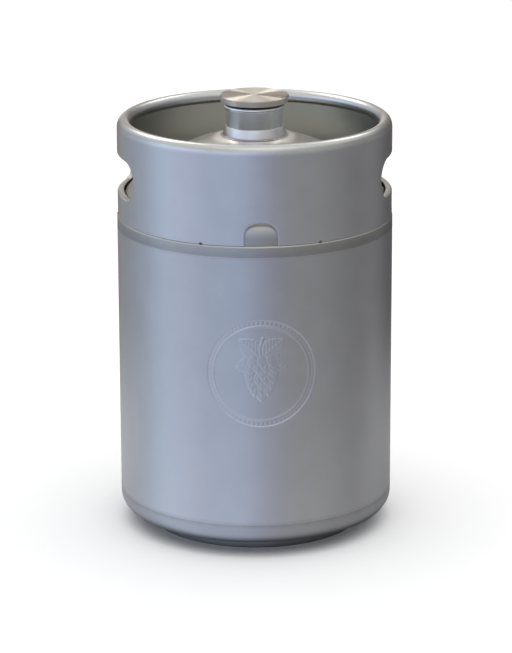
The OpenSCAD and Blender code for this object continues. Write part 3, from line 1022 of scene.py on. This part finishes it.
@dataclass
class Collar:
    """The carrying collar: one rolled sheet with a curled rim, two hand holes and two drain notches."""

    sheet: float = 1 * MM
    rim_width: float = 5.5 * MM          # from the wall to the rim's crest
    rim_height: float = 8 * MM           # from where the wall starts to curl up to the crest
    roll_radius: float = 5.3 * MM        # of the rim's inner, rolled-down side
    columns: int = 480
    rows: int = 37
    curl_steps: int = 12
    roll_steps: int = 18
    hole_half_length: float = 50 * MM
    hole_half_height: float = 15.5 * MM
    hole_corner: float = 14 * MM
    lip_depth: float = 5 * MM
    lip_bend: float = 1.4 * MM
    notch_half_width: float = 13 * MM
    notch_height: float = 18.5 * MM
    notch_corner: float = 11 * MM
    hole_share: float = 0.449            # the hand holes' height as a share of the collar's
    tack_angles: tuple[float, ...] = (-25, 25, 90, 155, 205, 270)
    hand_cells: int = 46                 # half the width of the grid block round a hand hole
    hand_rows: tuple[int, int] = (7, 30)
    drain_cells: int = 14                # half the width of the grid block round a drain notch
    drain_rows: tuple[int, int] = (0, 13)
    radius: float = field(init=False)
    low: float = field(init=False)
    high: float = field(init=False)      # where the wall starts to curl
    points: list[tuple[float, float, float]] = field(init=False, default_factory=list)
    faces: list[tuple[int, ...]] = field(init=False, default_factory=list)

    def __post_init__(self) -> None:
        """Takes the collar's place from the frame."""
        box = NodeBox.of("collar")
        self.radius, self.low, self.high = box.radius, box.low, box.high - self.rim_height

    def build(self, wardrobe: Wardrobe, welder: Welder) -> None:
        """Builds the collar, its seam and its tack welds and settles them."""
        inner = self.radius - self.sheet
        # The band on the collar's inside face is painted shade and warm reflection: darker and olive.
        satin = SteelFinish("satin_steel", Texture.SATIN, (0.65, 0.655, 0.66), 0.29, band_radius=inner,
                            band_reach=0.8 * self.sheet, band_colour=(0.52, 0.52, 0.475),
                            label="satin_collar")
        tack = SteelFinish("tack_steel", Texture.WELDED, (0.16, 0.15, 0.145), 0.5, relief=0.5)
        wardrobe.settle(self._sheet_piece(), "collar", satin)
        wardrobe.settle(self._seam(welder), "collar_seam", WELD)
        wardrobe.settle(self._tacks(welder, tack), "collar_tacks", tack)

    def _sheet_piece(self) -> bpy.types.Object:
        """The sheet's outer face, then its thickness and rounded edges."""
        self._wall_and_curl()
        piece = make_piece("collar_sheet", self.points, self.faces, 60)
        thick = piece.modifiers.new("sheet", "SOLIDIFY")
        thick.thickness, thick.offset, thick.use_even_offset = self.sheet, -1, True
        edge = piece.modifiers.new("edges", "BEVEL")
        edge.width, edge.segments, edge.limit_method = 0.28 * MM, 2, "ANGLE"
        edge.angle_limit = math.radians(60)
        return piece

    def _on_wall(self, middle: float, across: float, height: float, depth: float = 0) -> int:
        """Adds a point seen square-on from outside: across and up, pushed in by depth; gives its index."""
        out = math.sqrt(self.radius ** 2 - across ** 2) - depth
        c, s = math.cos(middle), math.sin(middle)
        self.points.append((out * c - across * s, out * s + across * c, height))
        return len(self.points) - 1

    def _wall_and_curl(self) -> None:
        """The wall's grid and the rim's curl, with blocks left out for the openings."""
        quarter = self.columns // 4
        hand = [Block(middle - self.hand_cells, middle + self.hand_cells, *self.hand_rows)
                for middle in (0, 2 * quarter)]
        drain = [Block(middle - self.drain_cells, middle + self.drain_cells, *self.drain_rows)
                 for middle in (quarter, 3 * quarter)]
        for row in range(self.rows + 1):
            height = self.low + (self.high - self.low) * row / self.rows
            self._ring(self.radius, height)
        for turn in np.linspace(0, math.pi / 2, self.curl_steps + 1)[1:]:
            self._ring(self.radius - self.rim_width * (1 - math.cos(turn)),
                       self.high + self.rim_height * math.sin(turn))
        crest, top = self.radius - self.rim_width, self.high + self.rim_height
        for turn in np.linspace(math.pi / 2, 1.5 * math.pi, self.roll_steps + 1)[1:]:
            self._ring(crest + self.roll_radius * math.cos(turn),
                       top - self.roll_radius * (1 - math.sin(turn)))
        for row in range(self.rows + self.curl_steps + self.roll_steps):
            for column in range(-self.columns // 4, self.columns * 3 // 4):
                if not any(block.holds(column, row) or block.holds(column + self.columns, row)
                           for block in hand + drain):
                    self.faces.append((self._at(column, row), self._at(column + 1, row),
                                       self._at(column + 1, row + 1), self._at(column, row + 1)))
        for turn, block in enumerate(hand):
            self._hand_hole(turn * math.pi, block)
        for turn, block in zip((1, 3), drain):
            self._drain_notch(turn * math.pi / 2, block)

    def _ring(self, radius: float, height: float) -> None:
        """Adds one level ring of the grid."""
        for j in range(self.columns):
            turn = 2 * math.pi * j / self.columns
            self.points.append((radius * math.cos(turn), radius * math.sin(turn), height))

    def _at(self, column: int, row: int) -> int:
        """Index of a grid point."""
        return row * self.columns + column % self.columns

    def _join(self, outer: Sequence[int], inner: Sequence[int], closed: bool) -> None:
        """Faces between two loops of the same length."""
        count = len(outer)
        for k in range(count if closed else count - 1):
            m = (k + 1) % count
            self.faces.append((outer[k], outer[m], inner[m], inner[k]))

    def _loops(self, middle: float, border: list[int], outline: Callable[[float], list[Point]],
               closed: bool, folded: bool) -> None:
        """Loops of faces from a block's border in to an opening.

        Args:
            middle: Direction of the opening's centre.
            border: Grid points round the block.
            outline: Gives the opening's outline, grown by a length.
            closed: Whether the loops close on themselves.
            folded: Whether the edge is folded in as a lip.
        """
        c, s = math.cos(middle), math.sin(middle)
        frame_points = [(-self.points[k][0] * s + self.points[k][1] * c, self.points[k][2]) for k in border]
        bend = self.lip_bend if folded else 0
        first = outline(bend)
        last = border
        spans = 5
        for k in range(1, spans + 1):
            share = k / spans
            level = [(a[0] + (b[0] - a[0]) * share, a[1] + (b[1] - a[1]) * share)
                     for a, b in zip(frame_points, first)]
            loop = [self._on_wall(middle, *p) for p in level]
            self._join(last, loop, closed)
            last = loop
        if not folded:
            return
        stations = [(bend * (1 - math.sin(t)), bend * (1 - math.cos(t)))
                    for t in np.radians(range(15, 91, 15))]
        stations += [(0, (bend + self.lip_depth) / 2), (0, self.lip_depth)]
        for grown, depth in stations:
            loop = [self._on_wall(middle, *p, depth) for p in outline(grown)]
            self._join(last, loop, closed)
            last = loop

    def _hand_hole(self, middle: float, block: Block) -> None:
        """A hand hole with a lip that is folded in."""
        across, up = block.right - block.left, block.high - block.low
        border = [self._at(block.left + k, block.low) for k in range(across)]
        border += [self._at(block.right, block.low + k) for k in range(up)]
        border += [self._at(block.right - k, block.high) for k in range(across)]
        border += [self._at(block.left, block.high - k) for k in range(up)]
        centre = self.low + (self.high + self.rim_height - self.low) * self.hole_share

        def outline(grown: float) -> list[Point]:
            """The hole's outline from its lower left corner, grown by a length."""
            half_l, half_h = self.hole_half_length + grown, self.hole_half_height + grown
            corner = self.hole_corner + grown
            spots: list[Point] = []
            for side, count in enumerate((across, up, across, up)):
                half, other = (half_l, half_h) if side % 2 == 0 else (half_h, half_l)
                run = half_side(half, other, corner, count)
                turn = side * math.pi / 2
                spots += [(x * math.cos(turn) - y * math.sin(turn),
                           centre + x * math.sin(turn) + y * math.cos(turn)) for x, y in run]
            return spots

        self._loops(middle, border, outline, closed=True, folded=True)

    def _drain_notch(self, middle: float, block: Block) -> None:
        """A plain arch cut up from the wall's lower edge."""
        across, up = block.right - block.left, block.high - block.low
        border = [self._at(block.right, block.low + k) for k in range(up)]
        border += [self._at(block.right - k, block.high) for k in range(across)]
        border += [self._at(block.left, block.high - k) for k in range(up + 1)]

        def outline(grown: float) -> list[Point]:
            """The arch from its lower right end, grown by a length."""
            half, top, corner = self.notch_half_width + grown, self.notch_height + grown, self.notch_corner
            middle_of_bend = (half - corner, top - corner)
            right = even([(half, 0), *arc(middle_of_bend, corner, 0, 45, 7)], up)
            turn = arc(middle_of_bend, corner, 45, 90, 7)
            crest = even(turn + [(-x, y) for x, y in reversed(turn)], across)
            left = [(-x, y) for x, y in reversed(right)]
            return [(x, self.low + y) for x, y in right[:-1] + crest[:-1] + left]

        self._loops(middle, border, outline, closed=False, folded=False)

    def _seam(self, welder: Welder) -> bpy.types.Object:
        """The upright weld at the back of the collar."""
        low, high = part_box("collar_seam")
        return welder.upright_bead("collar_seam_bead", low, high, 0.45 * MM,
                                   {"Half Width": 0.42 * MM, "Half Height": 1.2 * MM, "Seed": 4}, steps=100)

    def _tacks(self, welder: Welder, tack: SteelFinish) -> bpy.types.Object:
        """Small welds that hold the collar on the shoulder."""
        radius, height = self.radius + 0.1 * MM, self.low + 0.4 * MM
        spokes = [FRONT + math.radians(angle) for angle in self.tack_angles]
        points = [Vector((radius * math.cos(a), radius * math.sin(a), height)) for a in spokes]
        sizes = {"Half Width": 1.6 * MM, "Half Height": 0.8 * MM, "Proud": 0.62 * MM, "Seed": 6}
        return welder.grow("collar_tack_welds", welder.spot, points, [], tack, sizes)


def even(points: Sequence[Point], count: int) -> list[Point]:
    """Points spaced evenly along a line.

    Args:
        points: The line's points.
        count: Number of equal pieces wanted.

    Returns:
        count + 1 points, with both ends.
    """
    line = np.array(points)
    length = np.concatenate([[0], np.cumsum(np.hypot(*np.diff(line, axis=0).T))])
    stops = np.linspace(0, length[-1], count + 1)
    return list(zip(np.interp(stops, length, line[:, 0]), np.interp(stops, length, line[:, 1])))


def half_side(half: float, other: float, corner: float, count: int) -> list[Point]:
    """One side of a round-cornered rectangle, from the middle of one corner to the middle of the next.

    Args:
        half: Half the side's length.
        other: How far the side is from the centre.
        corner: Corner radius.
        count: Number of points.

    Returns:
        The points of the lower side, from left to right, without the last.
    """
    bend = arc((corner - half, corner - other), corner, -135, -90, 7)
    return even(bend + [(-x, y) for x, y in reversed(bend)], count)[:-1]


# ---------------------------------------------------------------- the neck and the cap

@dataclass
class Neck:
    """The neck's base ring, tube, weld and inner screw ridge."""

    bore: float = 20.5 * MM
    wall: float = 2.2 * MM
    lip: float = 1.9 * MM
    ring_step: float = 0.6 * MM
    ring_edge: float = 0.8 * MM          # height of the ring's upright edge at its foot
    ridge_height: float = 1.5 * MM
    pitch: float = 4 * MM
    turns: float = 3.0

    def build(self, wardrobe: Wardrobe, welder: Welder) -> None:
        """Builds the neck's pieces and settles them."""
        # The polished tube's blue tint is painted reflection of the lavender light on it.
        polished = SteelFinish("polished_steel", Texture.TURNED, (0.78, 0.81, 0.87), 0.24, relief=0.08,
                               lines=3200, anisotropy=0.6)
        brushed = SteelFinish("brushed_ring_steel", Texture.TURNED, (0.70, 0.69, 0.68), 0.26, relief=0.25,
                              lines=2600, anisotropy=0.4)
        wardrobe.settle(self._tube(), "neck_tube", polished)
        wardrobe.settle(self._base_ring(), "neck_ring", brushed)
        wardrobe.settle(self._weld(welder), "neck_weld", WELD)
        wardrobe.settle(self._ridge(welder, polished), "neck_thread", polished)

    def _tube(self) -> bpy.types.Object:
        """The tube with its rolled lip."""
        box = NodeBox.of("neck_tube")
        outer = self.bore + self.wall
        lip = (outer, box.high - self.lip)
        profile = [(self.bore, box.low), (outer, box.low)]
        profile += arc(lip, self.lip, -90, 90, 14)
        profile += rounded([(outer, box.high, 0), (self.bore, box.high, 0.5 * MM),
                            (self.bore, box.low, 0)], closed=False)[1:-1]
        return revolve("neck_pipe", profile)

    def _base_ring(self) -> bpy.types.Object:
        """The flared ring at the neck's foot, with its edges broken."""
        box = NodeBox.of("neck_ring")
        inner = self.bore + self.wall + 0.02 * MM
        shoulder = box.low + self.ring_edge
        profile = rounded([
            (inner, box.low + 0.5 * MM, 0), (box.radius, box.low, 0.1 * MM), (box.radius, shoulder, 0.5 * MM),
            (inner + self.ring_step, box.high, 0.3 * MM), (inner, box.high, 0.1 * MM)])
        return revolve("neck_base_ring", profile)

    def _weld(self, welder: Welder) -> bpy.types.Object:
        """The round weld between the base ring and the crown."""
        box, ring = NodeBox.of("neck_weld"), NodeBox.of("neck_ring")
        middle = (box.radius + ring.radius) / 2 - 0.1 * MM
        points, edges = circle_path(middle, box.low + 0.4 * MM, 420)
        sizes = {"Half Width": 0.3 * MM, "Half Height": 1.0 * MM, "Ripple Depth": 0.05 * MM, "Seed": 7}
        return welder.grow("neck_fillet", welder.bead, points, edges, WELD, sizes)

    def _ridge(self, welder: Welder, steel: SteelFinish) -> bpy.types.Object:
        """The screw ridge inside the neck."""
        return welder.ridge("neck_screw_thread", "neck_thread", self.bore, -self.ridge_height, self.pitch,
                            self.turns, steel)


@dataclass
class Closure:
    """The screw cap with its plug and ridge, and the black seal under it."""

    plug_radius: float = 18.5 * MM
    plug_wall: float = 2.2 * MM
    disc: float = 5.5 * MM
    roof: float = 3 * MM                 # metal above the plug's hollow
    underside_inset: float = 0.7 * MM
    bevel: float = 0.8 * MM
    top_rings: int = 6                   # rings of faces across the flat top
    ridge_height: float = 1.5 * MM
    pitch: float = 4 * MM
    turns: float = 2.5

    def build(self, wardrobe: Wardrobe, welder: Welder) -> None:
        """Builds the cap, its ridge and the seal and settles them."""
        # The cap's warm tan tint is painted reflection of the warm light round it.
        turned = SteelFinish("turned_steel", Texture.TURNED, (0.72, 0.665, 0.60), 0.38, relief=0.05,
                             lines=1900, anisotropy=1.0)
        wardrobe.settle(self._cap(), "cap", turned)
        wardrobe.settle(self._ridge(welder, turned), "cap_thread", turned)
        wardrobe.settle(self._seal(), "cap_seal", RubberFinish())

    def _cap(self) -> bpy.types.Object:
        """The cap: a turned disc with a bevel, over a hollow plug."""
        box = NodeBox.of("cap")
        under, hollow = box.high - self.disc, self.plug_radius - self.plug_wall
        profile = rounded([
            (0, box.high - self.roof, 0), (hollow, box.high - self.roof, 0.6 * MM),
            (hollow, box.low, 0.3 * MM), (self.plug_radius, box.low, 0.4 * MM),
            (self.plug_radius, under, 0.3 * MM), (box.radius - self.underside_inset, under, 0.25 * MM),
            (box.radius, box.high - self.bevel, 0.3 * MM), (box.radius - self.bevel, box.high, 0.25 * MM),
            (0, box.high, 0)], closed=False, steps=4)
        return revolve("screw_cap", self._steps_inward(profile), closed=False)

    def _steps_inward(self, profile: list[Point]) -> list[Point]:
        """Adds rings to the cap's flat top, so that its shading stays round."""
        edge, centre = profile[-2], profile[-1]
        rings = [(edge[0] * (1 - k / self.top_rings), centre[1]) for k in range(1, self.top_rings)]
        return profile[:-1] + rings + [centre]

    def _ridge(self, welder: Welder, steel: SteelFinish) -> bpy.types.Object:
        """The screw ridge round the cap's plug."""
        return welder.ridge("cap_screw_thread", "cap_thread", self.plug_radius, self.ridge_height,
                            self.pitch, self.turns, steel)

    def _seal(self) -> bpy.types.Object:
        """The flat seal ring."""
        box = NodeBox.of("cap_seal")
        inner, soft = self.plug_radius + 0.3 * MM, 0.3 * MM
        profile = rounded([(inner, box.low, soft), (box.radius, box.low, soft),
                           (box.radius, box.high, soft), (inner, box.high, soft)])
        return revolve("cap_washer", profile)


# ---------------------------------------------------------------- studio

@dataclass(frozen=True)
class Lobe:
    """A soft patch of light in the studio, round one direction."""

    name: str
    towards: tuple[float, float, float]
    colour: Colour
    reach: float        # degrees from its middle at which it ends
    full: float         # degrees from its middle within which it is whole


@dataclass
class Studio:
    """Pale floor, soft studio light and the camera."""

    camera_place: tuple[float, float, float] = (-0.1042, -2.3863, 0.8603)
    pitch: float = 16.335         # degrees down
    aside: float = 0.015          # degrees that the keg's axis stands left of the centre
    roll: float = -0.2
    lens: float = 168.1
    # Colour of the low light by direction round the keg: degrees from the front, + to the right
    sides: tuple[tuple[float, Colour], ...] = (
        (-180, (0.30, 0.31, 0.33)), (-140, (0.33, 0.34, 0.36)), (-107, (0.40, 0.45, 0.56)),
        (-85, (0.58, 0.70, 0.87)), (-66, (0.57, 0.62, 0.80)), (-40, (0.45, 0.52, 0.66)),
        (-17, (0.47, 0.55, 0.73)), (0, (0.38, 0.41, 0.54)), (21, (0.305, 0.305, 0.33)),
        (53, (0.30, 0.30, 0.305)), (91, (0.205, 0.203, 0.21)), (115, (0.25, 0.248, 0.25)),
        (131, (0.15, 0.15, 0.155)), (156, (0.08, 0.08, 0.085)), (180, (0.20, 0.205, 0.22)))
    lobes: tuple[Lobe, ...] = (
        Lobe("ceiling", (0, 0, 1), (0.80, 0.80, 0.78), 72, 48),
        Lobe("front_box", (0.06, -0.57, 0.82), (1.15, 1.15, 1.16), 28, 18),
        Lobe("back_box", (-0.05, 0.72, 0.69), (1.1, 1.08, 1.02), 16, 8),
        Lobe("back_wall", (0, 1, 0), (0.24, 0.165, 0.11), 27, 20),
        Lobe("backdrop", (0, 1, 0), (1.0, 1.0, 1.0), 14, 9),
        Lobe("left_box", (-0.42, 0.55, 0.72), (4.2, 4.0, 3.6), 15, 9),
        Lobe("right_box", (0.42, 0.55, 0.72), (4.2, 4.0, 3.6), 10, 6))
    rise: float = 0.7             # how much lighter the low light is above the horizon
    backdrop: float = 1.12        # what the eye sees
    floor_around: float = 0.2     # what lights the floor: a little all round, and more from overhead
    floor_overhead: float = 1.98

    def build(self) -> None:
        """Makes the world, the floor, the bounce card and the camera."""
        self._world()
        self._floor()
        self._bounce()
        self._camera()
        settings = bpy.context.scene.view_settings
        settings.view_transform = "Standard"

    def _world(self) -> None:
        """White for the eye and for the floor, and a soft directional light for the steel."""
        world = bpy.data.worlds.new("studio")
        bpy.context.scene.world = world
        world.use_nodes = True
        world.cycles.sampling_method = "NONE"
        tree = Tree(world.node_tree)
        heading = tree.add("ShaderNodeTexCoord").outputs["Generated"]
        way = tree.add("ShaderNodeSeparateXYZ", {0: heading}).outputs
        turn = tree.math("ARCTAN2", way[0], tree.math("MULTIPLY", way[1], -1.0))
        share = tree.math("ADD", tree.math("DIVIDE", turn, 2 * math.pi), 0.5)
        ramp = tree.add("ShaderNodeValToRGB", {0: share})
        stops = ramp.color_ramp.elements
        while len(stops) < len(self.sides):
            stops.new(0.5)
        for stop, (angle, _) in zip(stops, self.sides):
            stop.position = angle / 360 + 0.5
        for stop, (_, colour) in zip(stops, self.sides):
            stop.color = (*colour, 1)
        gain = tree.spread(way[2], -0.25, 0.35, 1, 1 + self.rise)
        lit = tree.add("ShaderNodeVectorMath", {0: ramp.outputs[0], "Scale": gain},
                       operation="SCALE").outputs[0]
        for lobe in self.lobes:
            axis = Vector(lobe.towards).normalized()
            near = tree.add("ShaderNodeVectorMath", {0: heading, 1: axis}, operation="DOT_PRODUCT").outputs[1]
            limits = [math.cos(math.radians(angle)) for angle in (lobe.reach, lobe.full)]
            lit = tree.mix(tree.spread(near, *limits), lit, (*lobe.colour, 1))
        path = tree.add("ShaderNodeLightPath").outputs
        high = tree.math("MULTIPLY", tree.math("MULTIPLY", way[2], way[2]), self.floor_overhead)
        strength = tree.math("ADD", high, self.floor_around)
        dome = tree.add("ShaderNodeCombineXYZ", {0: strength, 1: strength, 2: strength}).outputs[0]
        seen = tree.mix(path["Is Diffuse Ray"], (self.backdrop,) * 3 + (1,), dome)
        colour = tree.mix(path["Is Glossy Ray"], seen, lit)
        world.node_tree.links.new(colour, world.node_tree.nodes["Background"].inputs["Color"])

    def _floor(self) -> None:
        """A pale floor that catches the contact shadow and can be looked through from below."""
        half, steps = 6.0, 2
        points = [(half * (2 * i / steps - 1), half * (2 * j / steps - 1), 0)
                  for j in range(steps + 1) for i in range(steps + 1)]
        wide = steps + 1
        faces = [(j * wide + i, j * wide + i + 1, (j + 1) * wide + i + 1, (j + 1) * wide + i)
                 for j in range(steps) for i in range(steps)]
        floor = make_piece("studio_floor", points, faces)
        paint = bpy.data.materials.new("floor_paint")
        paint.use_nodes = True
        tree = Tree(paint.node_tree)
        shader = paint.node_tree.nodes["Principled BSDF"]
        shader.inputs["Base Color"].default_value = (0.93, 0.93, 0.93, 1)
        shader.inputs["Roughness"].default_value = 1.0
        shader.inputs["Specular IOR Level"].default_value = 0.0
        clear = tree.add("ShaderNodeBsdfTransparent").outputs[0]
        back = tree.add("ShaderNodeNewGeometry").outputs["Backfacing"]
        both = tree.add("ShaderNodeMixShader", {0: back, 1: shader.outputs[0], 2: clear}).outputs[0]
        out = paint.node_tree.nodes["Material Output"]
        paint.node_tree.links.new(both, out.inputs["Surface"])
        floor.data.materials.append(paint)
        floor.visible_glossy = False

    def _bounce(self) -> None:
        """What the steel sees of the floor: dark under the keg, then light thrown back, more of it behind."""
        points, faces, steps = [], [], 64
        radii = (0.001, 0.1, 0.3, 0.6, 1.2)
        for radius in radii:
            points += [tuple(p) for p in circle_path(radius, 0.0004, steps)[0]]
        for ring in range(len(radii) - 1):
            for j in range(steps):
                m = (j + 1) % steps
                near, far = ring * steps, (ring + 1) * steps
                faces.append((near + j, far + j, far + m, near + m))
        card = make_piece("floor_bounce", points, faces)
        glow = bpy.data.materials.new("bounce_glow")
        glow.use_nodes = True
        glow.cycles.emission_sampling = "NONE"
        glow.node_tree.nodes.clear()
        tree = Tree(glow.node_tree)
        way = tree.add("ShaderNodeSeparateXYZ", {0: place_vector(tree)}).outputs
        far = tree.from_axis(way)
        near = tree.math("MULTIPLY", tree.spread(far, 0.2, 0.75, 1, 0), tree.spread(far, 0.105, 0.125))
        power = tree.math("MULTIPLY", near, tree.spread(way[1], -0.1, 0.2, 0.13, 0.30))
        light = tree.add("ShaderNodeEmission", {"Color": (1, 1, 1, 1), "Strength": power}).outputs[0]
        shade = tree.spread(far, 0.090, 0.126, 0.1, 1)
        grey = tree.add("ShaderNodeCombineXYZ", {0: shade, 1: shade, 2: shade}).outputs[0]
        clear = tree.add("ShaderNodeBsdfTransparent", {0: grey}).outputs[0]
        both = tree.add("ShaderNodeAddShader", {0: light, 1: clear}).outputs[0]
        tree.add("ShaderNodeOutputMaterial", {0: both})
        card.data.materials.append(glow)
        for ray in ("camera", "diffuse", "transmission", "volume_scatter", "shadow"):
            setattr(card, "visible_" + ray, False)

    def _camera(self) -> None:
        """The camera, level with its own roll, at its place."""
        data = bpy.data.cameras.new("camera")
        data.lens, data.sensor_width, data.clip_start = self.lens, 36, 0.1
        camera = bpy.data.objects.new("camera", data)
        heading = -math.atan2(-self.camera_place[0], -self.camera_place[1]) - math.radians(self.aside)
        turn = Matrix.Rotation(heading, 4, "Z") @ Matrix.Rotation(math.radians(90 - self.pitch), 4, "X")
        turn = turn @ Matrix.Rotation(math.radians(self.roll), 4, "Z")
        camera.matrix_world = Matrix.Translation(self.camera_place) @ turn
        bpy.context.scene.collection.objects.link(camera)
        bpy.context.scene.camera = camera


def main() -> None:
    """Builds the keg's sub-assemblies in order, then the studio."""
    logging.basicConfig(level=logging.INFO, format="%(name)s: %(message)s")
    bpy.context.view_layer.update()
    Studio().build()
    wardrobe = Wardrobe()
    welder = Welder(wardrobe)
    for part in (Vessel(), Collar(), Neck(), Closure()):
        part.build(wardrobe, welder)


if __name__ == "__main__":
    main()
